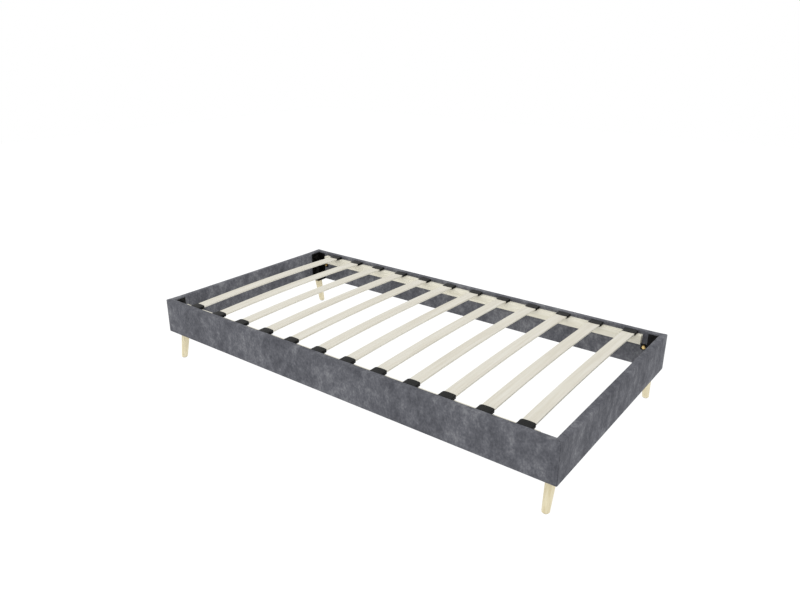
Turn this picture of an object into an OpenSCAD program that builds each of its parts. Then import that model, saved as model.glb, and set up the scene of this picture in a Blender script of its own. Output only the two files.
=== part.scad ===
// Low single bed frame: four upholstered panels mitred into a box, steel corner brackets that also
// carry splayed wooden legs, two ledge battens, and twelve bowed slats that lift out in plastic caps.
// Millimetres, +Z up, +X along the bed, origin on the floor below the middle of the frame.

/* [Frame] */
// Outside length of the frame
frame_l = 2058; // [2028:10:2158]
// Outside width of the frame
frame_w = 1066; // [966:10:1266]
// Height of the top of the rim above the floor
rim_h = 305; // [290:5:340]
// Height of each upholstered panel
panel_h = 164; // [155:1:175]
// Radius of the upright outside corners
corner_r = 8; // [5:1:12]

/* [Panels] */
// Thickness of a finished panel
wall = 27; // [26:1:32]
// Thickness of the upholstery fabric with its backing
fabric_t = 1.5; // [1:0.5:2]
// Thickness of the foam on the outside face
foam_t = 5; // [3:1:6]
// Thickness of the foam over the top edge
foam_top_t = 3; // [2:1:4]
// Half of the gap that is left in each mitre
mitre_gap = 0.2; // [0.1:0.1:0.5]

/* [Battens] */
// Length of a ledge batten
batten_l = 1866; // [1840:2:1880]
// Width of a ledge batten, out from the panel
batten_w = 26; // [22:1:30]
// Height of a ledge batten
batten_h = 40; // [34:1:46]
// Depth of the batten's top below the rim
batten_drop = 16; // [14:1:20]
// Screws that hold each batten
batten_screws_n = 6; // [4:1:6]

/* [Slats] */
// Number of slats
slats_n = 12; // [12:1:12]
// Distance from one slat to the next
slat_pitch = 157.4; // [150:0.2:158]
// How far the row of slats sits to the right of the frame's middle
slat_shift = 16; // [0:1:18]
// Width of a slat
slat_w = 53; // [50:1:54]
// Thickness of a slat
slat_t = 8; // [7:0.5:8]
// Rise of the bow in the middle of a slat
slat_bow = 10; // [4:0.5:14]

/* [Slat caps] */
// Width of a cap
cap_w = 59; // [58:1:62]
// Depth of a cap, from its back wall to its mouth
cap_d = 42.5; // [38:0.5:48]
// Thickness of the plate under the slat's end
cap_base = 1.2; // [1:0.1:2]
// Thickness of the roof over the slat's end, in the middle
cap_roof = 1.8; // [1.6:0.1:2.5]
// Radius of a cap's peg
peg_r = 4; // [3:0.5:5]
// Length of a cap's peg
peg_l = 12; // [8:1:16]
// Distance between the two pegs of a cap
peg_gap = 34; // [26:1:40]

/* [Corner brackets] */
// Steel thickness of the two upright flanges
bracket_t = 2.5; // [2:0.5:3]
// Steel thickness of the leg plate
leg_plate_t = 3; // [3:0.5:4]
// Width of the flange on the end panel
bracket_end_w = 62; // [58:1:66]
// Width of the flange on the side panel, beside the batten's end
bracket_side_w = 46; // [44:1:48]
// Reach of that flange's ear, which runs on below the batten
bracket_ear_w = 72; // [70:1:80]
// Height of the ear
bracket_ear_h = 28; // [26:1:34]
// Depth of the bracket's top below the rim
bracket_drop = 8; // [6:1:12]

/* [Legs] */
// Leg radius at the top
leg_top_r = 20; // [17:0.5:20]
// Leg radius at the foot
leg_foot_r = 14.5; // [12:0.5:16]
// Distance that each foot stands out sideways from the leg's top
leg_splay = 24; // [0:1:30]
// Distance from the end panel's inside face to the leg's centre
leg_in_x = 18; // [18:0.5:19]
// Distance from the side panel's inside face to the leg's centre, at the top
leg_in_y = 33; // [29:1:34]
// Thickness of the felt glide under each foot
glide_t = 2.5; // [2:0.5:4]
// Radius of the felt glide
glide_r = 11; // [8:0.5:12]

/* [Fasteners] */
// Radius of the bracket bolts and leg bolts
bolt_r = 4; // [4:1:4]
// Width of the bolt heads and nuts across their flats
hex_af = 13; // [13:1:13]
// Height of a bolt head
head_h = 5.3; // [5:0.1:5.5]
// Thickness of the washers
washer_t = 1.6; // [1.2:0.1:2]
// Radius of the washers under the bracket bolts
washer_r = 8; // [8:0.5:9]
// Radius of the washers on the leg bolts
leg_washer_r = 12; // [10:0.5:12]
// Radius of a batten screw
screw_r = 2; // [1.5:0.5:2.5]

/* [Hidden] */
$fn = 48;

fabric_colour = [0.40, 0.41, 0.43];
board_colour = [0.76, 0.62, 0.43];
foam_colour = [0.93, 0.91, 0.84];
batten_colour = [0.88, 0.86, 0.80];
slat_colour = [0.88, 0.86, 0.80];
leg_colour = [0.87, 0.83, 0.69];
black_colour = [0.06, 0.06, 0.06];
zinc_colour = [0.83, 0.66, 0.30];

eps = 0.01;
play = 0.05;                               // radial clearance of a round part in its hole
seat_gap = 0.1;                            // gap under a cap that rests on its batten
panel_z = rim_h - panel_h;                 // underside of the panels
inner_x = frame_l / 2 - wall;              // inside face of the end panels
inner_y = frame_w / 2 - wall;              // inside face of the side panels
foam_d = fabric_t + foam_t;                // depth at which the board's outside face lies
board_d = wall - fabric_t;                 // depth at which the board's inside face lies
board_top = rim_h - fabric_t - foam_top_t;
batten_z = rim_h - batten_drop;            // top of the battens
screw_z = batten_z - batten_h * 0.6;       // height of the batten screws
cap_z = batten_z + seat_gap;               // underside of the caps
pocket_z = cap_z + cap_base;               // floor of a cap's pocket
slat_half = inner_y - 6;                   // half the length of a slat
slat_end_z = pocket_z + 0.15;              // underside of a slat at its tip
cap_back = inner_y - 1;                    // back of a cap
cap_front = cap_back - cap_d;              // mouth of a cap
mouth_rise = slat_bow * (1 - pow(cap_front / slat_half, 2));
pocket_h = slat_t + mouth_rise + 0.4;      // height of a cap's pocket
cap_top = pocket_z + pocket_h + cap_roof;
cap_crown_r = 400;                         // radius of the crown over a cap
cap_corner_r = 9;                          // radius of a cap's mouth corners
peg_y = inner_y - batten_w / 2;            // pegs stand on the batten's centre line
bracket_top = rim_h - bracket_drop;
leg_x = inner_x - leg_in_x;
leg_y = inner_y - leg_in_y;
leg_top_z = panel_z - seat_gap;
leg_h = leg_top_z - glide_t;
leg_angle = atan(leg_splay / leg_h);
leg_bolt_low = leg_top_z - 45;             // lower end of the bolt in the leg
leg_nut_h = 6.5;
insert_r = 6;
insert_l = 15;
end_bolt_y = inner_y - 43;                 // bolts through the flange on the end panel
ear_z = batten_z - batten_h - 4;           // top of the ear of the flange on the side panel
bolt_heights_end = [rim_h - 30, panel_z + 34];
side_bolts = [[inner_x - bracket_ear_w + 15, ear_z - bracket_ear_h / 2],
              [inner_x - 31, panel_z + 34]];  // bolts through that flange: along X, and height
bolt_l = washer_t + bracket_t + fabric_t + insert_l;

// ---- small helpers ----------------------------------------------------------------------------

// Repeats a shape made for the back right quarter in all four corners
module at_four_corners() {
    for (mx = [0, 1]) for (my = [0, 1])
        mirror([mx, 0, 0]) mirror([0, my, 0]) children();
}

// One corner of the four: left or right, front or back
module at_corner(left, front) {
    mirror([left ? 1 : 0, 0, 0]) mirror([0, front ? 1 : 0, 0]) children();
}

// Horizontal rod from the inside face towards the outside of the end panel
module along_x(r, l) {
    rotate([0, 90, 0]) cylinder(r = r, h = l);
}

// Horizontal rod from the inside face towards the outside of the side panel
module along_y(r, l) {
    rotate([-90, 0, 0]) cylinder(r = r, h = l);
}

// Rectangle with round corners, centred on the origin
module round_plate(l, w, r) {
    square([l - 2 * r, w], center = true);
    square([l, w - 2 * r], center = true);
    for (sx = [-1, 1]) for (sy = [-1, 1])
        translate([sx * (l / 2 - r), sy * (w / 2 - r)]) circle(r = r);
}

// Mitred bar along +Y side of a frame of length l and width w, between two depths and two heights
module mitred_bar(l, w, d0, d1, z0, z1, cut = 0) {
    g = mitre_gap * sqrt(2) + cut;
    translate([0, 0, z0])
        linear_extrude(z1 - z0)
            polygon([[-(l / 2 - d0 - g), w / 2 - d0], [l / 2 - d0 - g, w / 2 - d0],
                     [l / 2 - d1 - g, w / 2 - d1], [-(l / 2 - d1 - g), w / 2 - d1]]);
}

// The whole frame's outline, set in by d, as a tall block
module outline_block(d) {
    translate([0, 0, panel_z - 1])
        linear_extrude(panel_h + 2)
            round_plate(frame_l - 2 * d, frame_w - 2 * d, corner_r - d);
}

// ---- one upholstered panel, made along the +Y side --------------------------------------------

module board_bar(l, w) {
    mitred_bar(l, w, foam_d, board_d, panel_z + fabric_t, board_top, fabric_t * sqrt(2));
}

module foam_bar(l, w) {
    difference() {
        mitred_bar(l, w, fabric_t, board_d, panel_z + fabric_t, rim_h - fabric_t,
                   fabric_t * sqrt(2));
        translate([-l, w / 2 - board_d - 5, panel_z - 5])
            cube([2 * l, board_d - foam_d + 5, board_top - panel_z + 5]);
    }
}

module cover_bar(l, w) {
    difference() {
        mitred_bar(l, w, 0, wall, panel_z, rim_h);
        mitred_bar(l, w, fabric_t, board_d, panel_z + fabric_t, rim_h - fabric_t,
                   fabric_t * sqrt(2));
    }
}

// Round holes through the fabric and board of a side panel, for the bracket bolts and screws
module side_holes(r, l) {
    for (sx = [-1, 1]) for (b = side_bolts)
        translate([sx * b[0], inner_y - eps, b[1]]) along_y(r, l);
}

module end_holes(r, l) {
    for (sy = [-1, 1]) for (z = bolt_heights_end)
        translate([inner_x - eps, sy * end_bolt_y, z]) along_x(r, l);
}

// Places of the batten screws along a side panel, in the gaps between slats
module at_screws() {
    for (i = [0 : batten_screws_n - 1])
        translate([(2 * i - batten_screws_n + 1) * slat_pitch + slat_shift, 0, screw_z]) children();
}

module screw(grow) {
    head_y = frame_w / 2 - foam_d - 0.2;
    translate([0, head_y, 0]) rotate([90, 0, 0])
        cylinder(r1 = 2 * screw_r + grow, r2 = screw_r + grow, h = screw_r + 0.5);
    translate([0, head_y, 0]) rotate([90, 0, 0])
        cylinder(r = screw_r + grow, h = board_d - foam_d + fabric_t + batten_w - 6 + grow);
}

module side_board() {
    color(board_colour)
    difference() {
        board_bar(frame_l, frame_w);
        side_holes(insert_r + play, fabric_t + insert_l + 1);
        at_screws() screw(play);
    }
}

module end_board() {
    color(board_colour)
    difference() {
        rotate([0, 0, -90]) board_bar(frame_w, frame_l);
        end_holes(insert_r + play, fabric_t + insert_l + 1);
    }
}

module side_foam() {
    color(foam_colour)
    intersection() {
        foam_bar(frame_l, frame_w);
        outline_block(fabric_t);
    }
}

module end_foam() {
    color(foam_colour)
    intersection() {
        rotate([0, 0, -90]) foam_bar(frame_w, frame_l);
        outline_block(fabric_t);
    }
}

module side_cover() {
    color(fabric_colour)
    difference() {
        intersection() {
            cover_bar(frame_l, frame_w);
            outline_block(0);
        }
        side_holes(bolt_r + 0.4, fabric_t + 1);
        at_screws() screw(play);
    }
}

module end_cover() {
    color(fabric_colour)
    difference() {
        intersection() {
            rotate([0, 0, -90]) cover_bar(frame_w, frame_l);
            outline_block(0);
        }
        end_holes(bolt_r + 0.4, fabric_t + 1);
    }
}

// ---- ledge battens ----------------------------------------------------------------------------

module batten() {
    color(batten_colour)
    difference() {
        translate([-batten_l / 2, inner_y - batten_w, batten_z - batten_h])
            cube([batten_l, batten_w, batten_h]);
        for (i = [1 : slats_n]) for (s = [-1, 1])
            translate([slat_x(i) + s * peg_gap / 2, peg_y, batten_z - peg_l - 2])
                cylinder(r = peg_r + play, h = peg_l + 3);
        at_screws() screw(play);
    }
}

module batten_screws() {
    color(zinc_colour)
    for (my = [0, 1]) mirror([0, my, 0])
        at_screws() screw(0);
}

// ---- corner brackets and their bolts ----------------------------------------------------------

module bracket() {
    z = panel_z;
    h = bracket_top - panel_z;
    color(black_colour)
    difference() {
        union() {
            translate([inner_x - bracket_t, inner_y - bracket_end_w, z])
                cube([bracket_t, bracket_end_w, h]);
            translate([inner_x - bracket_side_w, inner_y - bracket_t, z])
                cube([bracket_side_w, bracket_t, h]);
            translate([inner_x - bracket_ear_w, inner_y - bracket_t, ear_z - bracket_ear_h])
                cube([bracket_ear_w, bracket_t, bracket_ear_h]);
            translate([inner_x - bracket_side_w, inner_y - bracket_end_w, z])
                cube([bracket_side_w, bracket_end_w, leg_plate_t]);
        }
        for (bz = bolt_heights_end)
            translate([inner_x - bracket_t - 1, end_bolt_y, bz]) along_x(bolt_r + 0.3, bracket_t + 2);
        for (b = side_bolts)
            translate([b[0], inner_y - bracket_t - 1, b[1]]) along_y(bolt_r + 0.3, bracket_t + 2);
        translate([leg_x, leg_y, z - 1]) cylinder(r = bolt_r + 0.3, h = leg_plate_t + 2);
    }
}

// Puts a fastener, drawn along +Z from the flange's face into the panel, at one corner's four bolts
module at_bolts() {
    for (bz = bolt_heights_end)
        translate([inner_x - bracket_t, end_bolt_y, bz]) rotate([0, 90, 0]) children();
    for (b = side_bolts)
        translate([b[0], inner_y - bracket_t, b[1]]) rotate([-90, 0, 0]) children();
}

module bracket_bolts() {
    color(zinc_colour)
    at_four_corners() at_bolts()
        translate([0, 0, -washer_t]) {
            translate([0, 0, -head_h]) cylinder(r = hex_af / sqrt(3), h = head_h, $fn = 6);
            translate([0, 0, -eps]) cylinder(r = bolt_r, h = bolt_l);
        }
}

module bracket_washers() {
    color(zinc_colour)
    at_four_corners() at_bolts()
        translate([0, 0, -washer_t]) ring(washer_r, bolt_r + 0.3, washer_t);
}

module insert_nuts() {
    color(zinc_colour)
    at_four_corners() at_bolts()
        translate([0, 0, bracket_t + fabric_t]) ring(insert_r, bolt_r + play, insert_l);
}

module ring(r_out, r_in, h) {
    difference() {
        cylinder(r = r_out, h = h);
        translate([0, 0, -1]) cylinder(r = r_in, h = h + 2);
    }
}

// ---- legs -------------------------------------------------------------------------------------

// A tapered round leg that leans outwards, cut level at the top and at the foot
module leg() {
    over = 12;
    slope = (leg_top_r - leg_foot_r) / leg_h;
    color(leg_colour)
    difference() {
        translate([leg_x, leg_y, leg_top_z]) rotate([leg_angle, 0, 0])
            translate([0, 0, -leg_h / cos(leg_angle) - over])
                cylinder(r1 = leg_foot_r - over * slope, r2 = leg_top_r + over * slope,
                         h = leg_h / cos(leg_angle) + 2 * over);
        translate([leg_x - 60, leg_y - 60, leg_top_z]) cube([120, 120, 60]);
        translate([leg_x - 60, leg_y - 60, glide_t - 60]) cube([120, 120, 60]);
        translate([leg_x, leg_y, leg_bolt_low - 2]) cylinder(r = bolt_r + play, h = 60);
    }
}

module leg_bolts() {
    top = panel_z + leg_plate_t + washer_t + leg_nut_h + 4;
    color(zinc_colour)
    at_four_corners()
        translate([leg_x, leg_y, leg_bolt_low]) cylinder(r = bolt_r, h = top - leg_bolt_low);
}

module leg_washers() {
    color(zinc_colour)
    at_four_corners()
        translate([leg_x, leg_y, panel_z + leg_plate_t]) ring(leg_washer_r, bolt_r + 0.3, washer_t);
}

module leg_nuts() {
    color(zinc_colour)
    at_four_corners()
        translate([leg_x, leg_y, panel_z + leg_plate_t + washer_t])
            difference() {
                cylinder(r = hex_af / sqrt(3), h = leg_nut_h, $fn = 6);
                translate([0, 0, -1]) cylinder(r = bolt_r + play, h = leg_nut_h + 2);
            }
}

module foot_glides() {
    color(black_colour)
    at_four_corners()
        translate([leg_x, leg_y + leg_splay, 0]) cylinder(r = glide_r, h = glide_t);
}

// ---- slats and their caps ---------------------------------------------------------------------

function slat_x(i) = (i - (slats_n + 1) / 2) * slat_pitch + slat_shift;

// Height of a slat's underside at a distance y from the middle
function slat_low(y) = slat_end_z + slat_bow * (1 - pow(y / slat_half, 2));

module slat(i) {
    steps = 24;
    ys = [for (k = [0 : steps]) -slat_half + 2 * slat_half * k / steps];
    low = [for (y = ys) [y, slat_low(y)]];
    high = [for (k = [steps : -1 : 0]) [ys[k], slat_low(ys[k]) + slat_t]];
    color(slat_colour)
    translate([slat_x(i) - slat_w / 2, 0, 0])
        rotate([90, 0, 90]) linear_extrude(slat_w) polygon(concat(low, high));
}

// Outline of a cap from above: square at the back, round corners and a slightly bulged mouth
module cap_outline() {
    bulge_r = 260;
    intersection() {
        union() {
            translate([-cap_w / 2, cap_front + cap_corner_r])
                square([cap_w, cap_d - cap_corner_r]);
            translate([-cap_w / 2 + cap_corner_r, cap_front])
                square([cap_w - 2 * cap_corner_r, cap_d]);
            for (s = [-1, 1])
                translate([s * (cap_w / 2 - cap_corner_r), cap_front + cap_corner_r])
                    circle(r = cap_corner_r);
        }
        translate([0, cap_front + bulge_r]) circle(r = bulge_r, $fn = 360);
    }
}

// One cap at the back end of a slat: body with a pocket, and two pegs
module cap() {
    pocket_w = slat_w + 0.6;
    difference() {
        intersection() {
            translate([0, 0, cap_z]) linear_extrude(cap_top - cap_z) cap_outline();
            translate([0, cap_front - 5, cap_top - cap_crown_r])
                rotate([-90, 0, 0]) cylinder(r = cap_crown_r, h = cap_d + 10, $fn = 720);
        }
        translate([-pocket_w / 2, cap_front - 1, pocket_z])
            cube([pocket_w, slat_half + 0.3 - cap_front + 1, pocket_h]);
    }
    for (s = [-1, 1])
        translate([s * peg_gap / 2, peg_y, cap_z - peg_l])
            cylinder(r = peg_r, h = peg_l + cap_base / 2);
}

module slat_caps(i) {
    color(black_colour)
    translate([slat_x(i), 0, 0])
        for (my = [0, 1]) mirror([0, my, 0]) cap();
}

// ---- the nodes --------------------------------------------------------------------------------

mirror([0, 1, 0]) side_board();  // board_front
side_board();  // board_back
mirror([1, 0, 0]) end_board();  // board_left
end_board();  // board_right
mirror([0, 1, 0]) side_foam();  // foam_front
side_foam();  // foam_back
mirror([1, 0, 0]) end_foam();  // foam_left
end_foam();  // foam_right
mirror([0, 1, 0]) side_cover();  // cover_front
side_cover();  // cover_back
mirror([1, 0, 0]) end_cover();  // cover_left
end_cover();  // cover_right
mirror([0, 1, 0]) batten();  // batten_front
batten();  // batten_back
batten_screws();
at_corner(true, true) bracket();  // bracket_front_left
at_corner(false, true) bracket();  // bracket_front_right
at_corner(true, false) bracket();  // bracket_back_left
at_corner(false, false) bracket();  // bracket_back_right
bracket_bolts();
bracket_washers();
insert_nuts();
at_corner(true, true) leg();  // leg_front_left
at_corner(false, true) leg();  // leg_front_right
at_corner(true, false) leg();  // leg_back_left
at_corner(false, false) leg();  // leg_back_right
leg_bolts();
leg_washers();
leg_nuts();
foot_glides();
slat(1);  // slat_01
slat(2);  // slat_02
slat(3);  // slat_03
slat(4);  // slat_04
slat(5);  // slat_05
slat(6);  // slat_06
slat(7);  // slat_07
slat(8);  // slat_08
slat(9);  // slat_09
slat(10);  // slat_10
slat(11);  // slat_11
slat(12);  // slat_12
slat_caps(1);  // slat_caps_01
slat_caps(2);  // slat_caps_02
slat_caps(3);  // slat_caps_03
slat_caps(4);  // slat_caps_04
slat_caps(5);  // slat_caps_05
slat_caps(6);  // slat_caps_06
slat_caps(7);  // slat_caps_07
slat_caps(8);  // slat_caps_08
slat_caps(9);  // slat_caps_09
slat_caps(10);  // slat_caps_10
slat_caps(11);  // slat_caps_11
slat_caps(12);  // slat_caps_12
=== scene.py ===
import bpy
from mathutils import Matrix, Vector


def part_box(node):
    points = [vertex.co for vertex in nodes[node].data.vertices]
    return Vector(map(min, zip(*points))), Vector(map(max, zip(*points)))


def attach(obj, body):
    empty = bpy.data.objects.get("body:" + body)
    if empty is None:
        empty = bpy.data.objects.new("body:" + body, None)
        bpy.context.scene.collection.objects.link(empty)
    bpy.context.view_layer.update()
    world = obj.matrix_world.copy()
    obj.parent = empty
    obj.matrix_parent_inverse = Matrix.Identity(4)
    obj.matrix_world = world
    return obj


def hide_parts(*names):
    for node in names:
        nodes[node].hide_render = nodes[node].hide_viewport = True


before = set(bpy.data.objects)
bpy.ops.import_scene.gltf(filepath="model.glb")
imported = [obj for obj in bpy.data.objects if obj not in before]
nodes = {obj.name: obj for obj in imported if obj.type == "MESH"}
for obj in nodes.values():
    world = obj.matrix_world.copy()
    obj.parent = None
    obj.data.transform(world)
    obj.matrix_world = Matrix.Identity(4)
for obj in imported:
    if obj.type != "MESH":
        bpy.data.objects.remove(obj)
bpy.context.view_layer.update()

from math import cos, pi, radians, sin, sqrt

import bpy
import numpy as np
from mathutils import Matrix, Vector

# ------------------------------------------------------------------------------------------------
# Viewpoint. A camera at standing eye height beyond the front right corner of the bed, looking
# down along it, so that both outer faces, the whole slatted base and all four legs show.

camera_data = bpy.data.cameras.new("camera")
camera_data.lens = 30.774
camera_data.sensor_width = 36.0
camera = bpy.data.objects.new("camera", camera_data)
bpy.context.scene.collection.objects.link(camera)
camera_place = (1.7369, -2.3054, 1.4995)
look_round = radians(127.194 - 90)
look_down = radians(90 - 21.147)
camera_roll = radians(0.178)
camera.matrix_world = (
    Matrix.Translation(camera_place)
    @ Matrix.Rotation(look_round, 4, "Z")
    @ Matrix.Rotation(look_down, 4, "X")
    @ Matrix.Rotation(camera_roll, 4, "Z")
)
bpy.context.scene.camera = camera

# ------------------------------------------------------------------------------------------------
# Room. A seamless white studio: a pale floor that glows as evenly as the white round it, one broad
# soft light overhead and a smaller one from the front left.

bpy.context.scene.view_settings.view_transform = "Standard"


def feed(tree, made, inputs):
    """The inputs of a node, each linked to a socket or set to a value."""
    for name, value in inputs.items():
        if isinstance(value, bpy.types.NodeSocket):
            tree.links.new(value, made.inputs[name])
        else:
            made.inputs[name].default_value = value


def add_node(tree, kind, inputs, **settings):
    """One shader node with its settings and inputs."""
    made = tree.nodes.new(kind)
    for name, value in settings.items():
        setattr(made, name, value)
    feed(tree, made, inputs)
    return made


def ramp(tree, mask, *stops):
    """The colour that a mask picks from a row of (position, colour) stops."""
    made = add_node(tree, "ShaderNodeValToRGB", {"Fac": mask})
    bar = made.color_ramp
    while len(bar.elements) < len(stops):
        bar.elements.new(0.5)
    for element, (position, colour) in zip(bar.elements, stops):
        element.position = position
        element.color = colour
    return made.outputs["Color"]


def grey(level):
    """A plain grey, as shaders use it."""
    return (level, level, level, 1.0)


def new_material(name):
    """A new material, its nodes, and its Principled shader."""
    material = bpy.data.materials.new(name)
    material.use_nodes = True
    tree = material.node_tree
    return material, tree, tree.nodes["Principled BSDF"]


world = bpy.data.worlds.new("studio")
bpy.context.scene.world = world
world.use_nodes = True
sky = world.node_tree.nodes["Background"]
sky.inputs["Color"].default_value = grey(1.0)
sky.inputs["Strength"].default_value = 1.0

floor_material, floor_tree, floor_shader = new_material("studio_floor")
floor_speck = add_node(floor_tree, "ShaderNodeTexNoise", {"Scale": 3.0, "Detail": 3.0})
floor_colour = ramp(
    floor_tree, floor_speck.outputs["Fac"], (0.0, grey(0.05)), (1.0, grey(0.07))
)
floor_tree.links.new(floor_colour, floor_shader.inputs["Base Color"])
floor_shader.inputs["Roughness"].default_value = 0.9
floor_shader.inputs["Specular IOR Level"].default_value = 0.1
floor_shader.inputs["Emission Color"].default_value = grey(1.0)
floor_shader.inputs["Emission Strength"].default_value = 1.0

floor_reach = 9.0
floor_level = -0.0004
floor_corners = ((-1, -1), (1, -1), (1, 1), (-1, 1))
floor_mesh = bpy.data.meshes.new("floor")
floor_mesh.from_pydata(
    [(x * floor_reach, y * floor_reach, floor_level) for x, y in floor_corners],
    [],
    [(0, 1, 2, 3)],
)
floor_mesh.materials.append(floor_material)
floor = bpy.data.objects.new("floor", floor_mesh)
bpy.context.scene.collection.objects.link(floor)


def soft_light(name, place, aim, size, power):
    """A square studio light at a place, turned towards a point."""
    light_data = bpy.data.lights.new(name, "AREA")
    light_data.size = size
    light_data.energy = power
    light = bpy.data.objects.new(name, light_data)
    bpy.context.scene.collection.objects.link(light)
    light.location = place
    light.rotation_euler = (Vector(aim) - Vector(place)).to_track_quat("-Z", "Y").to_euler()


bed_middle = (0, 0, 0.2)
soft_light("light_overhead", (0.3, 0.2, 3.4), bed_middle, size=3.0, power=8)
soft_light("light_front_left", (-2.2, -3.2, 2.2), bed_middle, size=2.0, power=14)

# ------------------------------------------------------------------------------------------------
# Core boards. Four 22 mm particle boards make the box of the bed, mitred at the corners. Foam and
# fabric hide them, apart from the drilled bolt and screw holes.


def linear(red, green, blue):
    """A colour given as 0 to 255 screen values, as the linear one that shaders use."""
    parts = []
    for part in (red, green, blue):
        part = part / 255
        parts.append(part / 12.92 if part <= 0.04045 else ((part + 0.055) / 1.055) ** 2.4)
    return (*parts, 1.0)


def new_group(name, inputs, outputs):
    """An empty shader node group with its sockets, and its two end nodes."""
    group = bpy.data.node_groups.new(name, "ShaderNodeTree")
    for socket, kind, value in inputs:
        made = group.interface.new_socket(name=socket, in_out="INPUT", socket_type=kind)
        if value is not None:
            made.default_value = value
    for socket, kind in outputs:
        group.interface.new_socket(name=socket, in_out="OUTPUT", socket_type=kind)
    return group, group.nodes.new("NodeGroupInput"), group.nodes.new("NodeGroupOutput")


def use_group(tree, group, inputs):
    """A node group placed in a material, with its own values."""
    placed = tree.nodes.new("ShaderNodeGroup")
    placed.node_tree = group
    feed(tree, placed, inputs)
    return placed


def maths(tree, operation, first, second=0.0):
    """The output of one arithmetic node."""
    made = add_node(tree, "ShaderNodeMath", {0: first, 1: second}, operation=operation)
    return made.outputs[0]


def spread(tree, mask, low, high, to_low=0.0, to_high=1.0):
    """A mask stretched from one range of values to another."""
    made = add_node(
        tree,
        "ShaderNodeMapRange",
        {"Value": mask, "From Min": low, "From Max": high, "To Min": to_low, "To Max": to_high},
    )
    return made.outputs["Result"]


def mixed(tree, mask, first, second, blend_type="MIX"):
    """Two colours mixed by a mask. The node has sockets for other kinds of value between these."""
    made = tree.nodes.new("ShaderNodeMix")
    made.data_type = "RGBA"
    made.blend_type = blend_type
    mask_input, first_input, second_input, colour_output = 0, 6, 7, 2
    feed(tree, made, {mask_input: mask, first_input: first, second_input: second})
    return made.outputs[colour_output]


def object_place(tree, scale=(1.0, 1.0, 1.0)):
    """The place on the piece in metres, stretched along each axis."""
    place = tree.nodes.new("ShaderNodeTexCoord").outputs["Object"]
    stretch = add_node(tree, "ShaderNodeMapping", {"Vector": place, "Scale": scale})
    return stretch.outputs["Vector"]


def raise_surface(tree, shader, height, strength, distance):
    """Relief on a material from a height mask, up to a distance in metres."""
    made = add_node(
        tree, "ShaderNodeBump", {"Height": height, "Strength": strength, "Distance": distance}
    )
    tree.links.new(made.outputs["Normal"], shader.inputs["Normal"])


def dress(part, material):
    """A piece or CAD node with one material all over."""
    part.data.materials.clear()
    part.data.materials.append(material)


# Speckle: wood chips, powder coat, plating, felt or moulded grain, as two masks and a height.
speckle, group_in, group_out = new_group(
    "speckle",
    [("Vector", "NodeSocketVector", None), ("Size", "NodeSocketFloat", 200.0)],
    [("Coarse", "NodeSocketFloat"), ("Fine", "NodeSocketFloat"), ("Height", "NodeSocketFloat")],
)
speckle_place, coarse_size = group_in.outputs["Vector"], group_in.outputs["Size"]
fine_size = maths(speckle, "MULTIPLY", coarse_size, 4.5)
coarse = add_node(
    speckle, "ShaderNodeTexNoise", {"Vector": speckle_place, "Scale": coarse_size, "Detail": 4.0}
)
fine = add_node(
    speckle, "ShaderNodeTexNoise", {"Vector": speckle_place, "Scale": fine_size, "Detail": 2.0}
)
coarse_mask = spread(speckle, coarse.outputs["Fac"], 0.34, 0.66)
fine_mask = spread(speckle, fine.outputs["Fac"], 0.36, 0.64)
speckle.links.new(coarse_mask, group_out.inputs["Coarse"])
speckle.links.new(fine_mask, group_out.inputs["Fine"])
speckle_height = maths(
    speckle, "ADD", maths(speckle, "MULTIPLY", coarse_mask, 0.4),
    maths(speckle, "MULTIPLY", fine_mask, 0.6),
)
speckle.links.new(speckle_height, group_out.inputs["Height"])

board_material, tree, shader = new_material("particle_board")
chips = use_group(tree, speckle, {"Vector": object_place(tree, (1, 1, 2.2)), "Size": 160.0})
board_colour = ramp(
    tree, chips.outputs["Coarse"],
    (0.0, linear(150, 120, 84)), (0.5, linear(196, 166, 124)), (1.0, linear(222, 196, 156)),
)
tree.links.new(board_colour, shader.inputs["Base Color"])
shader.inputs["Roughness"].default_value = 0.85
raise_surface(tree, shader, chips.outputs["Height"], 0.3, 0.0006)
for side in ("front", "back", "left", "right"):
    dress(nodes["board_" + side], board_material)

# ------------------------------------------------------------------------------------------------
# Upholstered panels. Thin foam and a soft grey velvet-like fabric are pulled tight round each
# board, turned in at the mitred ends and stapled underneath. The nap is brushed every way.

cover_low, cover_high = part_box("cover_back")
panel_low, panel_high = cover_low[2], cover_high[2]
panel_wall = cover_high[1] - cover_low[1]
frame_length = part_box("cover_right")[1][0] * 2
frame_width = cover_high[1] * 2

brushed_nap, group_in, group_out = new_group(
    "brushed_nap",
    [("Vector", "NodeSocketVector", None)],
    [("Tone", "NodeSocketFloat"), ("Fibre", "NodeSocketFloat"), ("Height", "NodeSocketFloat")],
)
nap_place = group_in.outputs["Vector"]


def nap_noise(scale, detail, roughness, distortion):
    """One size of cloudiness in the nap."""
    made = add_node(
        brushed_nap, "ShaderNodeTexNoise",
        {"Vector": nap_place, "Scale": scale, "Detail": detail, "Roughness": roughness,
         "Distortion": distortion},
    )
    return made.outputs["Fac"]


def nap_blend(*parts):
    """Masks added up, each by its share."""
    total = 0.0
    for mask, share in parts:
        total = maths(brushed_nap, "ADD", maths(brushed_nap, "MULTIPLY", mask, share), total)
    return total


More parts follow.
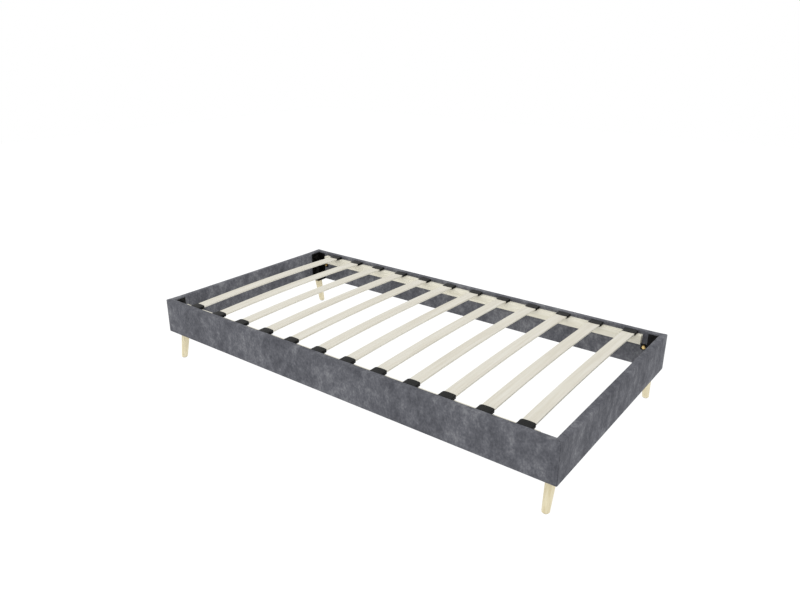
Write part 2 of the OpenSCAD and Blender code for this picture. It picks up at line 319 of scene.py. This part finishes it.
hand_prints = spread(brushed_nap, nap_noise(7.0, 2.0, 0.5, 0.3), 0.35, 0.65)
blotches = spread(brushed_nap, nap_noise(26.0, 5.0, 0.62, 0.15), 0.32, 0.68)
strokes = spread(brushed_nap, nap_noise(120.0, 3.0, 0.6, 0.2), 0.33, 0.67)
fibres = spread(brushed_nap, nap_noise(900.0, 2.0, 0.6, 0.0), 0.3, 0.7)
tone = nap_blend((hand_prints, 0.26), (blotches, 0.44), (strokes, 0.30))
brushed_nap.links.new(tone, group_out.inputs["Tone"])
brushed_nap.links.new(fibres, group_out.inputs["Fibre"])
nap_height = nap_blend((blotches, 0.25), (strokes, 0.35), (fibres, 0.4))
brushed_nap.links.new(nap_height, group_out.inputs["Height"])

fabric_material, tree, shader = new_material("grey_fabric")
nap = use_group(tree, brushed_nap, {"Vector": object_place(tree, (1.0, 1.0, 0.72))})
fabric_colour = ramp(
    tree, nap.outputs["Tone"],
    (0.18, linear(79, 80, 86)), (0.42, linear(93, 94, 100)),
    (0.60, linear(105, 106, 112)), (0.86, linear(130, 131, 135)),
)
fibre_tone = ramp(tree, nap.outputs["Fibre"], (0.0, grey(0.86)), (1.0, grey(1.0)))
fabric_colour = mixed(tree, 1.0, fabric_colour, fibre_tone, "MULTIPLY")
tree.links.new(fabric_colour, shader.inputs["Base Color"])
tree.links.new(
    spread(tree, nap.outputs["Tone"], 0.1, 0.9, 0.95, 0.8), shader.inputs["Roughness"]
)
shader.inputs["Specular IOR Level"].default_value = 0.10
shader.inputs["Sheen Weight"].default_value = 0.03
shader.inputs["Sheen Roughness"].default_value = 0.45
raise_surface(tree, shader, nap.outputs["Height"], 0.45, 0.0008)


def section_arc(centre_d, centre_z, radius, start, end, steps):
    """Points on one rounded corner of a panel's cross-section: depth from outside, and height."""
    turns = [radians(start + (end - start) * k / steps) for k in range(steps + 1)]
    return [(centre_d - radius * cos(t), centre_z + radius * sin(t)) for t in turns]


def straight(points, end, spacing):
    """Points from the last one towards an end point, without either of the two."""
    (d0, z0), (d1, z1) = points[-1], end
    count = max(1, round(sqrt((d1 - d0) ** 2 + (z1 - z0) ** 2) / spacing))
    return [(d0 + (d1 - d0) * k / count, z0 + (z1 - z0) * k / count) for k in range(1, count)]


def panel_section():
    """The closed cross-section of a panel, from the middle of its underside round the outside."""
    low, high, wall = panel_low, panel_high, panel_wall
    hem_edge, rim_edge, inner_edge = 0.0022, 0.0028, 0.0030
    spacing = 0.010
    loop = [(wall / 2, low)]
    for arc in (
        section_arc(hem_edge, low + hem_edge, hem_edge, -90, 0, 3),
        section_arc(rim_edge, high - rim_edge, rim_edge, 0, 90, 4),
        section_arc(wall - inner_edge, high - inner_edge, inner_edge, 90, 180, 4),
        section_arc(wall - inner_edge, low + inner_edge, inner_edge, 180, 270, 3),
    ):
        loop += straight(loop, arc[0], spacing) + arc
    return np.array(loop + straight(loop, loop[0], spacing))


def inward(loop):
    """The direction into the material at each point of a cross-section."""
    along = np.roll(loop, -1, axis=0) - np.roll(loop, 1, axis=0)
    along /= np.linalg.norm(along, axis=1)[:, None]
    return np.stack([along[:, 1], -along[:, 0]], axis=1)


upright_corner = 0.0045
mitre_gap = 0.0002
mitre_depth = 0.012


def panel_point(length, width, far, inset, d, z):
    """One point of a panel on the +Y side. Far is 0 where the mitred end starts and 1 on the
    mitre, or is less than 0 for metres back from that start."""
    end = length / 2 - d - mitre_gap
    shoulder = length / 2 - panel_wall - mitre_depth
    x = shoulder + (end - shoulder) * far if far > 0 else shoulder + far
    x -= inset
    y = width / 2 - d
    ring = upright_corner - d
    lean = x - (length / 2 - upright_corner)
    if ring > 0 and lean > 0:
        turn = pi / 4 * min(lean / ring, 1.0)
        x = length / 2 - upright_corner + ring * sin(turn)
        y = width / 2 - upright_corner + ring * cos(turn)
    return x, y, z


def panel_mesh(name, length, width):
    """A whole closed panel on the +Y side of a frame of that length and width. Each row of points
    has its side of the middle, how far along it lies, its inset and how deep it is tucked in."""
    loop = panel_section()
    into = inward(loop)
    half = length / 2 - panel_wall - mitre_depth
    row_spacing = 0.012
    steps = round(2 * half / row_spacing)
    end_rows = [(far, 0.0, 0.0) for far in (0.2, 0.4, 0.6, 0.78, 0.9)]
    end_rows += [(1.0, 0.0010, 0.0), (1.0, 0.0003, 0.0002), (1.0, 0.0, 0.0007)]
    rows = [(-1, *row) for row in reversed(end_rows)]
    rows += [(1, -2 * half * (1 - k / steps), 0.0, 0.0) for k in range(steps + 1)]
    rows += [(1, *row) for row in end_rows]
    points = []
    for way, far, inset, tuck in rows:
        for (d, z), (into_d, into_z) in zip(loop, into):
            x, y, z = panel_point(
                length, width, far, inset, d + into_d * tuck, z + into_z * tuck
            )
            points.append((way * x, y, z))
    count = len(loop)
    faces = [
        (r * count + k, (r + 1) * count + k, (r + 1) * count + (k + 1) % count,
         r * count + (k + 1) % count)
        for r in range(len(rows) - 1)
        for k in range(count)
    ]
    for r, flip in ((0, False), (len(rows) - 1, True)):
        ring = [r * count + k for k in range(count)]
        points.append(tuple(np.mean([points[k] for k in ring], axis=0)))
        for k in range(count):
            face = (ring[k], ring[(k + 1) % count], len(points) - 1)
            faces.append(face[::-1] if flip else face)
    mesh = bpy.data.meshes.new(name)
    mesh.from_pydata(points, [], [face[::-1] for face in faces])
    mesh.validate()
    return mesh


def mitre_distance(points):
    """How far points lie from the nearest mitre plane."""
    x = frame_length / 2 - np.abs(points[:, 0])
    y = frame_width / 2 - np.abs(points[:, 1])
    return np.abs(x - y) / sqrt(2)


def settle_fabric(panel, across, width):
    """Cloth pulled over foam. It swells off the board, up to a limit, and stays put inside the
    frame, along its lower edge and where it is turned in at an end."""
    swell_limit = 0.0020
    held_band = 0.012
    top_band = 0.006
    last_step = 20
    mesh = panel.data
    start = np.empty(len(mesh.vertices) * 3, np.float32)
    mesh.vertices.foreach_get("co", start)
    start = start.reshape(-1, 3)
    depth = width / 2 - np.abs(start[:, across])
    near_end = np.minimum(1.0, mitre_distance(start) / held_band)
    low_edge = np.clip((start[:, 2] - panel_low) / held_band, 0, 1)
    outside = np.clip(1 - depth / (panel_wall * 0.8), 0, 1)
    on_top = np.clip((start[:, 2] - panel_high + top_band) / top_band, 0, 1)
    free = np.maximum(outside, on_top) * near_end * low_edge
    held = panel.vertex_groups.new(name="held")
    for k, share in enumerate(free):
        held.add([k], float(1 - share), "REPLACE")
    cloth = panel.modifiers.new("fabric", "CLOTH")
    cloth.settings.quality = 4
    cloth.settings.mass = 0.25
    cloth.settings.use_pressure = True
    cloth.settings.uniform_pressure_force = 0.5
    cloth.settings.vertex_group_mass = "held"
    cloth.settings.effector_weights.gravity = 0.0
    cloth.point_cache.frame_start = 1
    cloth.point_cache.frame_end = last_step
    scene = bpy.context.scene
    for step in range(1, last_step + 1):
        scene.frame_set(step)
    solved = panel.evaluated_get(bpy.context.evaluated_depsgraph_get())
    end = np.empty(len(mesh.vertices) * 3, np.float32)
    solved.data.vertices.foreach_get("co", end)
    moved = end.reshape(-1, 3) - start
    size = np.linalg.norm(moved, axis=1)
    share = swell_limit * np.tanh(size / swell_limit) / np.maximum(size, 1e-9)
    mesh.vertices.foreach_set("co", (start + moved * share[:, None]).ravel())
    panel.modifiers.remove(cloth)
    scene.frame_set(1)
    mesh.update()


for side, turn, length, width, across in (
    ("back", 0.0, frame_length, frame_width, 1),
    ("front", pi, frame_length, frame_width, 1),
    ("right", -pi / 2, frame_width, frame_length, 0),
    ("left", pi / 2, frame_width, frame_length, 0),
):
    mesh = panel_mesh("panel_" + side, length, width)
    mesh.transform(Matrix.Rotation(turn, 4, "Z"))
    mesh.update()
    panel = bpy.data.objects.new("panel_" + side, mesh)
    bpy.context.scene.collection.objects.link(panel)
    settle_fabric(panel, across, width)
    for face in mesh.polygons:
        face.use_smooth = True
    rounder = panel.modifiers.new("smooth", "SUBSURF")
    rounder.levels = rounder.render_levels = 1
    dress(panel, fabric_material)
    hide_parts("cover_" + side, "foam_" + side)
    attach(panel, "frame")

# ------------------------------------------------------------------------------------------------
# Ledge battens. A planed pale softwood batten is screwed along the inside of each long panel, and
# is drilled from above with a pair of holes for each slat cap.

long_grain, group_in, group_out = new_group(
    "long_grain",
    [("Vector", "NodeSocketVector", None), ("Fineness", "NodeSocketFloat", 1.0)],
    [("Grain", "NodeSocketFloat"), ("Figure", "NodeSocketFloat"), ("Height", "NodeSocketFloat")],
)
grain_place, fineness = group_in.outputs["Vector"], group_in.outputs["Fineness"]
grain_lines = add_node(
    long_grain, "ShaderNodeTexNoise",
    {"Vector": grain_place, "Scale": maths(long_grain, "MULTIPLY", fineness, 6.0),
     "Detail": 4.0, "Roughness": 0.7},
)
figure = add_node(
    long_grain, "ShaderNodeTexNoise",
    {"Vector": grain_place, "Scale": 1.1, "Detail": 2.0, "Distortion": 0.9},
)
grain_mask = spread(long_grain, grain_lines.outputs["Fac"], 0.35, 0.65)
figure_mask = spread(long_grain, figure.outputs["Fac"], 0.3, 0.7)
long_grain.links.new(grain_mask, group_out.inputs["Grain"])
long_grain.links.new(figure_mask, group_out.inputs["Figure"])
long_grain.links.new(grain_mask, group_out.inputs["Height"])


def pale_wood(name, stretch, dark, middle, light, streak, roughness):
    """Planed pale wood, stretched along its grain, with streaks of a given darkness."""
    material, tree, shader = new_material(name)
    wood = use_group(tree, long_grain, {"Vector": object_place(tree, stretch)})
    colour = ramp(tree, wood.outputs["Figure"], (0.0, dark), (0.5, middle), (1.0, light))
    warm_streak = (streak, streak * 0.99, streak * 0.97, 1)
    streaks = ramp(tree, wood.outputs["Grain"], (0.0, warm_streak), (0.6, grey(1.0)))
    tree.links.new(mixed(tree, 1.0, colour, streaks, "MULTIPLY"), shader.inputs["Base Color"])
    tree.links.new(
        spread(tree, wood.outputs["Grain"], 0.0, 1.0, roughness + 0.1, roughness),
        shader.inputs["Roughness"],
    )
    shader.inputs["Specular IOR Level"].default_value = 0.3
    raise_surface(tree, shader, wood.outputs["Height"], 0.25, 0.0003)
    return material


batten_material = pale_wood(
    "batten_softwood", (2.2, 70, 70),
    linear(226, 222, 204), linear(233, 229, 213), linear(238, 235, 221), 0.94, 0.6,
)


def soften(part, width):
    """The small round that every sawn, pressed or turned edge has."""
    weld = part.modifiers.new("weld", "WELD")
    weld.merge_threshold = 0.00001
    edge = part.modifiers.new("edge", "BEVEL")
    edge.width = width
    edge.segments = 2
    edge.limit_method = "ANGLE"
    edge.angle_limit = radians(40)
    edge.harden_normals = True
    for face in part.data.polygons:
        face.use_smooth = True


for side in ("front", "back"):
    dress(nodes["batten_" + side], batten_material)
    soften(nodes["batten_" + side], 0.0012)

# ------------------------------------------------------------------------------------------------
# Corner brackets. Each is folded from black powder-coated steel: two upright flanges bolted to the
# side panel and the end panel, and a level plate that the leg hangs from.

bracket_material, tree, shader = new_material("black_powder_coat")
coat = use_group(tree, speckle, {"Vector": object_place(tree), "Size": 420.0})
tree.links.new(
    ramp(tree, coat.outputs["Coarse"], (0.0, linear(7, 7, 7)), (1.0, linear(14, 13, 13))),
    shader.inputs["Base Color"],
)
tree.links.new(
    spread(tree, coat.outputs["Coarse"], 0.0, 1.0, 0.28, 0.42), shader.inputs["Roughness"]
)
shader.inputs["Specular IOR Level"].default_value = 0.12
raise_surface(tree, shader, coat.outputs["Height"], 0.2, 0.0002)
corners = ("front_left", "front_right", "back_left", "back_right")
for place in corners:
    dress(nodes["bracket_" + place], bracket_material)
    soften(nodes["bracket_" + place], 0.0005)

# ------------------------------------------------------------------------------------------------
# Bolts, washers, insert nuts and screws. Stock steel fasteners with yellow zinc plating, apart
# from the blackened bolts and washers that hold each bracket to its end panel.

zinc_material, tree, shader = new_material("yellow_zinc")
plating = use_group(tree, speckle, {"Vector": object_place(tree), "Size": 260.0})
# From here outwards along the bed, every fastener belongs to an end panel.
bolt_reach = 0.012
end_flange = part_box("bracket_back_right")[1][0] - bolt_reach
along = add_node(tree, "ShaderNodeSeparateXYZ", {0: object_place(tree)}).outputs["X"]
blackened = spread(tree, maths(tree, "ABSOLUTE", along), end_flange, end_flange + 0.0004)
plating_colour = ramp(
    tree, plating.outputs["Coarse"],
    (0.0, linear(196, 160, 92)), (0.5, linear(222, 194, 128)), (1.0, linear(236, 218, 170)),
)
tree.links.new(
    mixed(tree, blackened, plating_colour, linear(16, 15, 15)), shader.inputs["Base Color"]
)
tree.links.new(
    spread(tree, plating.outputs["Fine"], 0.0, 1.0, 0.22, 0.38), shader.inputs["Roughness"]
)
tree.links.new(maths(tree, "SUBTRACT", 1.0, blackened), shader.inputs["Metallic"])
shader.inputs["Specular IOR Level"].default_value = 0.15
raise_surface(tree, shader, plating.outputs["Height"], 0.15, 0.0001)
for name in ("bracket_bolts", "bracket_washers", "insert_nuts", "batten_screws",
             "leg_bolts", "leg_washers", "leg_nuts"):
    dress(nodes[name], zinc_material)
for name in ("bracket_bolts", "leg_nuts"):
    soften(nodes[name], 0.0006)

# ------------------------------------------------------------------------------------------------
# Legs. Four tapered round legs, turned from pale wood and lacquered clear. They lean outwards
# across the bed, and are cut level at the plate and at the foot.

leg_material = pale_wood(
    "leg_wood", (60, 60, 3.0),
    linear(214, 202, 166), linear(224, 213, 180), linear(229, 220, 190), 0.93, 0.4,
)


def leg_mesh(name, node):
    """A leaning tapered leg with a softly rounded foot, between its plate and its glide."""
    around, up = 64, 28
    foot_radius = 0.0145
    foot_round = 0.0022
    splay = 0.024
    low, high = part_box(node)
    height = high[2] - low[2]
    way = 1 if low[1] + high[1] > 0 else -1
    top_radius = (high[0] - low[0]) / 2
    middle_x = (low[0] + high[0]) / 2
    outer_y = max(abs(low[1]), abs(high[1]))
    inner_y = min(abs(low[1]), abs(high[1]))
    lean = splay / height
    stretch = sqrt(1 + lean * lean)
    top_y = inner_y + top_radius * stretch
    foot_y = outer_y - foot_radius * stretch
    rings = []
    for turn in (0, 22, 45, 67):
        t = radians(turn)
        rings.append((low[2] + foot_round * (1 - cos(t)), 0.0, foot_round * (1 - sin(t))))
    rings.append((low[2] + foot_round, foot_round / height, 0.0))
    rings += [(low[2] + height * (k / up), k / up, 0.0) for k in range(1, up + 1)]
    points, faces = [], []
    for z, share, inset in rings:
        radius = foot_radius + (top_radius - foot_radius) * share - inset
        centre = foot_y + (top_y - foot_y) * share
        for k in range(around):
            turn = 2 * pi * k / around
            points.append((middle_x + radius * cos(turn),
                           way * centre + radius * stretch * sin(turn), z))
    for r in range(len(rings) - 1):
        for k in range(around):
            n = (k + 1) % around
            faces.append((r * around + k, r * around + n, (r + 1) * around + n,
                          (r + 1) * around + k))
    faces.append(tuple(range(around))[::-1])
    last = (len(rings) - 1) * around
    faces.append(tuple(range(last, last + around)))
    mesh = bpy.data.meshes.new(name)
    mesh.from_pydata(points, [], faces)
    mesh.validate()
    return mesh


def finish_mesh(mesh, sharp):
    """Smooth shading, apart from edges sharper than an angle in degrees."""
    for face in mesh.polygons:
        face.use_smooth = True
    mesh.set_sharp_from_angle(angle=radians(sharp))
    mesh.update()


def place_piece(name, mesh, material, body, slot, *stands_for):
    """A finished mesh as a piece of the bed that rides on a body and stands for CAD nodes."""
    piece = bpy.data.objects.new(name, mesh)
    bpy.context.scene.collection.objects.link(piece)
    dress(piece, material)
    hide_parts(*stands_for)
    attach(piece, body)
    return piece


for place in corners:
    mesh = leg_mesh("turned_leg_" + place, "leg_" + place)
    finish_mesh(mesh, 35)
    place_piece("turned_leg_" + place, mesh, leg_material, "frame", "leg_wood", "leg_" + place)

felt_material, tree, shader = new_material("black_felt")
felt = use_group(tree, speckle, {"Vector": object_place(tree), "Size": 700.0})
tree.links.new(
    ramp(tree, felt.outputs["Coarse"], (0.0, linear(30, 28, 27)), (1.0, linear(62, 60, 58))),
    shader.inputs["Base Color"],
)
shader.inputs["Roughness"].default_value = 0.95
raise_surface(tree, shader, felt.outputs["Height"], 0.6, 0.0005)
dress(nodes["foot_glides"], felt_material)

# ------------------------------------------------------------------------------------------------
# Slats. Twelve strips of pale birch, glued up in thin layers and pressed with an upward bow so
# that they spring under the mattress. Their long edges are rounded.

slat_material = pale_wood(
    "slat_birch", (60, 1.8, 60),
    linear(208, 203, 189), linear(214, 210, 197), linear(219, 216, 205), 0.965, 0.5,
)


def rounded_strip(width, thickness):
    """Points round a slat's cross-section: across, and up from its underside."""
    radius, steps = 0.0022, 4
    loop = []
    for cx, cz, start in (
        (width / 2 - radius, radius, -90), (width / 2 - radius, thickness - radius, 0),
        (-width / 2 + radius, thickness - radius, 90), (-width / 2 + radius, radius, 180),
    ):
        for k in range(steps + 1):
            turn = radians(start + 90 * k / steps)
            loop.append((cx + radius * cos(turn), cz + radius * sin(turn)))
    return loop


def slat_mesh(name, node):
    """A bowed slat, where its CAD node lies."""
    stations = 48
    thickness = 0.008
    low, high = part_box(node)
    width, half = high[0] - low[0], (high[1] - low[1]) / 2
    middle = (low[0] + high[0]) / 2
    bow = high[2] - low[2] - thickness
    loop = rounded_strip(width, thickness)
    points, faces = [], []
    for s in range(stations + 1):
        y = -half + 2 * half * s / stations
        lift = low[2] + bow * (1 - (y / half) ** 2)
        points += [(middle + across, y, lift + up) for across, up in loop]
    count = len(loop)
    for s in range(stations):
        for k in range(count):
            n = (k + 1) % count
            faces.append((s * count + k, s * count + n, (s + 1) * count + n, (s + 1) * count + k))
    faces.append(tuple(range(count)))
    faces.append(tuple(range(stations * count, (stations + 1) * count))[::-1])
    mesh = bpy.data.meshes.new(name)
    mesh.from_pydata(points, [], [face[::-1] for face in faces])
    mesh.validate()
    return mesh


slat_numbers = range(1, 13)
for number in slat_numbers:
    node = f"slat_{number:02d}"
    mesh = slat_mesh("bowed_" + node, node)
    finish_mesh(mesh, 35)
    slat = place_piece("bowed_" + node, mesh, slat_material, f"slat_unit_{number:02d}",
                       "slat_wood", node)
    slat.modifiers.new("flat_faces", "WEIGHTED_NORMAL").keep_sharp = True

# ------------------------------------------------------------------------------------------------
# Slat caps. A black moulded plastic shoe is pushed over each end of a slat, and its two pegs drop
# into the batten. The roof is crowned, and the corners of the mouth are rounded. The roof's
# grained middle is painted a lighter black as painted light, and the flanks and edges a darker one
# as painted shade.


def moulded_plastic(name, grit, dark, light, roughness, specular, relief):
    """Black plastic with the grit that its mould leaves on it."""
    material, tree, shader = new_material(name)
    mould = use_group(tree, speckle, {"Vector": object_place(tree), "Size": grit})
    tree.links.new(
        ramp(tree, mould.outputs["Coarse"], (0.0, dark), (1.0, light)), shader.inputs["Base Color"]
    )
    tree.links.new(
        spread(tree, mould.outputs["Coarse"], 0.0, 1.0, roughness, roughness + 0.14),
        shader.inputs["Roughness"],
    )
    shader.inputs["Specular IOR Level"].default_value = specular
    raise_surface(tree, shader, mould.outputs["Height"], relief, 0.0002)
    return material


# Painted light and shade on the caps: the darker smooth black goes on the flanks, rounded edges
# and slot so that they read as shaded. The lighter grained black goes on the roof's middle so that
# it reads as lit. The grain and the roughness are the plastic's own.
smooth_shaded_plastic = moulded_plastic(
    "smooth_black_plastic_painted_shade", 500.0, linear(3, 3, 3), linear(6, 6, 6), 0.34, 0.10, 0.12
)
grained_lit_plastic = moulded_plastic(
    "grained_black_plastic_painted_light", 360.0, linear(7, 8, 7), linear(16, 17, 15), 0.42, 0.13, 0.4
)


def cap_outline(half, depth):
    """A cap from above, anticlockwise from the left end of its mouth: across, and back from it.
    The mouth's corners are rounded, and the slot's edges lie on them. Also where the slot starts
    and ends in that outline."""
    mouth_half, slot_half = 0.0205, 0.0268
    mouth_curve = 0.520
    back_radius, back_steps = 0.003, 4
    corner_radius = half - mouth_half
    bulge = mouth_half * mouth_half / mouth_curve
    slot_turn = np.arcsin((slot_half - mouth_half) / corner_radius)
    turns = [pi / 2, 1.22, 0.98, slot_turn, 0.52, 0.28, 0.0]
    left = [
        (-mouth_half - corner_radius * sin(t), bulge + corner_radius - corner_radius * cos(t))
        for t in turns
    ]
    across_mouth = (-0.0154, -0.0103, -0.0051, 0.0, 0.0051, 0.0103, 0.0154)
    front = [(u, u * u / mouth_curve) for u in across_mouth]
    right = [(-u, v) for u, v in reversed(left)]
    behind = []
    for k in range(back_steps + 1):
        turn = pi / 2 * k / back_steps
        behind.append((half - back_radius + back_radius * cos(turn),
                       depth - back_radius + back_radius * sin(turn)))
    side = [(half, v) for v in (0.018, 0.026, 0.034)]
    back = [(u, depth) for u in (0.016, 0.0, -0.016)]
    loop = left + front + right + side + behind + back
    loop += [(-u, v) for u, v in reversed(behind)] + [(-u, v) for u, v in reversed(side)]
    slot_start = turns.index(slot_turn)
    slot_end = len(left) + len(front) + len(right) - 1 - slot_start
    return np.array(loop), slot_start, slot_end


def cap_points_and_faces(half, depth, low, top, pocket_low, pocket_high, pocket_back):
    """One cap with its slot, its mouth at zero and its back at its depth, and which of its faces
    belong to the grained middle of the roof, which gets a lighter black as painted light."""
    loop, first, last = cap_outline(half, depth)
    count = len(loop)
    along = np.roll(loop, -1, axis=0) - np.roll(loop, 1, axis=0)
    along /= np.linalg.norm(along, axis=1)[:, None]
    into = np.stack([-along[:, 1], along[:, 0]], axis=1)
    crown = 0.0011
    chamfer = 0.0005
    front_edge, back_edge = 0.0008, 0.0020
    roof = top - crown * (loop[:, 0] / half) ** 2
    back_share = np.clip((loop[:, 1] - 0.008) / 0.012, 0, 1)
    radius = front_edge + (back_edge - front_edge) * back_share
    rows = []

    def add_row(place, height):
        """One ring of points round the cap."""
        rows.append([(p[0], p[1], h) for p, h in zip(place, np.broadcast_to(height, count))])

    add_row(loop + into * chamfer, low)
    add_row(loop, low + chamfer)
    add_row(loop, pocket_low)
    add_row(loop, np.minimum(pocket_high, roof - radius - 0.0001))
    slot_floor, slot_roof = 2, 3
    for turn in (0.0, 30.0, 60.0, 90.0):
        t = radians(turn)
        place = loop + into * (radius * (1 - cos(t)))[:, None]
        add_row(place, top - crown * (place[:, 0] / half) ** 2 - radius * (1 - sin(t)))
    rim = np.array(rows[-1])
    centre = np.array([0.0, depth / 2])
    # The rows so far, the flanks and rounded edges, get the darker black as painted shade.
    shaded_rim_rows = len(rows)
    for share in (0.91, 0.68, 0.45, 0.22):
        place = centre + (rim[:, :2] - centre) * share
        add_row(place, top - crown * (place[:, 0] / half) ** 2)
    points = [p for row in rows for p in row]
    faces, on_roof = [], []
    for r in range(len(rows) - 1):
        for k in range(count):
            if r == slot_floor and first <= k < last:
                continue
            n = (k + 1) % count
            faces.append((r * count + k, r * count + n, (r + 1) * count + n, (r + 1) * count + k))
            on_roof.append(r >= shaded_rim_rows)
    points.append((0.0, depth / 2, top))
    peak = len(points) - 1
    last_row = (len(rows) - 1) * count
    faces += [(last_row + k, last_row + (k + 1) % count, peak) for k in range(count)]
    on_roof += [True] * count
    faces.append(tuple(range(count))[::-1])
    inner = {}
    for k in range(first, last + 1):
        for level, height in ((slot_floor, pocket_low), (slot_roof, pocket_high)):
            points.append((loop[k][0], pocket_back, height))
            inner[level, k] = len(points) - 1
    floor_row, roof_row = slot_floor * count, slot_roof * count
    for k in range(first, last):
        faces.append((floor_row + k, floor_row + k + 1, inner[slot_floor, k + 1],
                      inner[slot_floor, k]))
        faces.append((roof_row + k + 1, roof_row + k, inner[slot_roof, k],
                      inner[slot_roof, k + 1]))
        faces.append((inner[slot_floor, k], inner[slot_floor, k + 1], inner[slot_roof, k + 1],
                      inner[slot_roof, k]))
    faces.append((floor_row + first, inner[slot_floor, first], inner[slot_roof, first],
                  roof_row + first))
    faces.append((inner[slot_floor, last], floor_row + last, roof_row + last,
                  inner[slot_roof, last]))
    on_roof += [False] * (len(faces) - len(on_roof))
    return points, faces, on_roof


def peg_points_and_faces(across, back, low, high):
    """A round peg with a chamfered tip, let into the cap's base."""
    radius, chamfer, around = 0.004, 0.0012, 24
    points, faces = [], []
    rings = ((radius - chamfer, low), (radius, low + chamfer), (radius, high))
    for size, z in rings:
        points += [(across + size * cos(2 * pi * k / around),
                    back + size * sin(2 * pi * k / around), z) for k in range(around)]
    for r in range(2):
        for k in range(around):
            n = (k + 1) % around
            faces.append((r * around + k, r * around + n, (r + 1) * around + n,
                          (r + 1) * around + k))
    faces.append(tuple(range(around))[::-1])
    faces.append(tuple(range(2 * around, 3 * around)))
    return points, faces


def caps_mesh(name, node):
    """The two caps of one slat, where their CAD node lies, and the material of each face."""
    depth = 0.0425
    peg_length, base_plate, roof_plate = 0.012, 0.0012, 0.0018
    peg_across, peg_offset, slat_play = 0.017, 0.001, 0.0003
    low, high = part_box(node)
    half = (high[0] - low[0]) / 2
    middle = (low[0] + high[0]) / 2
    back = high[1]
    base, top = low[2] + peg_length, high[2]
    slat_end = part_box(node.replace("slat_caps", "slat"))[1][1]
    pocket_back = depth - (back - slat_end) + slat_play
    points, faces, on_roof = cap_points_and_faces(
        half, depth, base, top, base + base_plate, top - roof_plate, pocket_back
    )
    batten_low, batten_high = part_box("batten_back")
    peg_back = depth + peg_offset - (batten_high[1] - batten_low[1]) / 2
    for side in (-1, 1):
        more, joined = peg_points_and_faces(
            side * peg_across, peg_back, low[2], base + base_plate / 2
        )
        faces += [tuple(k + len(points) for k in face) for face in joined]
        on_roof += [False] * len(joined)
        points += more
    here = [(middle + u, back - depth + v, z) for u, v, z in points]
    there = [(middle + u, -(back - depth + v), z) for u, v, z in points]
    mirrored = [tuple(k + len(here) for k in reversed(face)) for face in faces]
    mesh = bpy.data.meshes.new(name)
    mesh.from_pydata(here + there, [], faces + mirrored)
    return mesh, np.array(on_roof + on_roof, np.int32)


for number in slat_numbers:
    name = f"caps_{number:02d}"
    node = f"slat_caps_{number:02d}"
    mesh, lit_roof_faces = caps_mesh(name, node)
    finish_mesh(mesh, 42)
    place_piece(name, mesh, smooth_shaded_plastic, f"slat_unit_{number:02d}", "cap_plastic", node)
    # The flanks, edges and slot keep the darker black as painted shade, and the roof's middle gets
    # the lighter black as painted light.
    mesh.materials.append(grained_lit_plastic)
    mesh.polygons.foreach_set("material_index", lit_roof_faces)
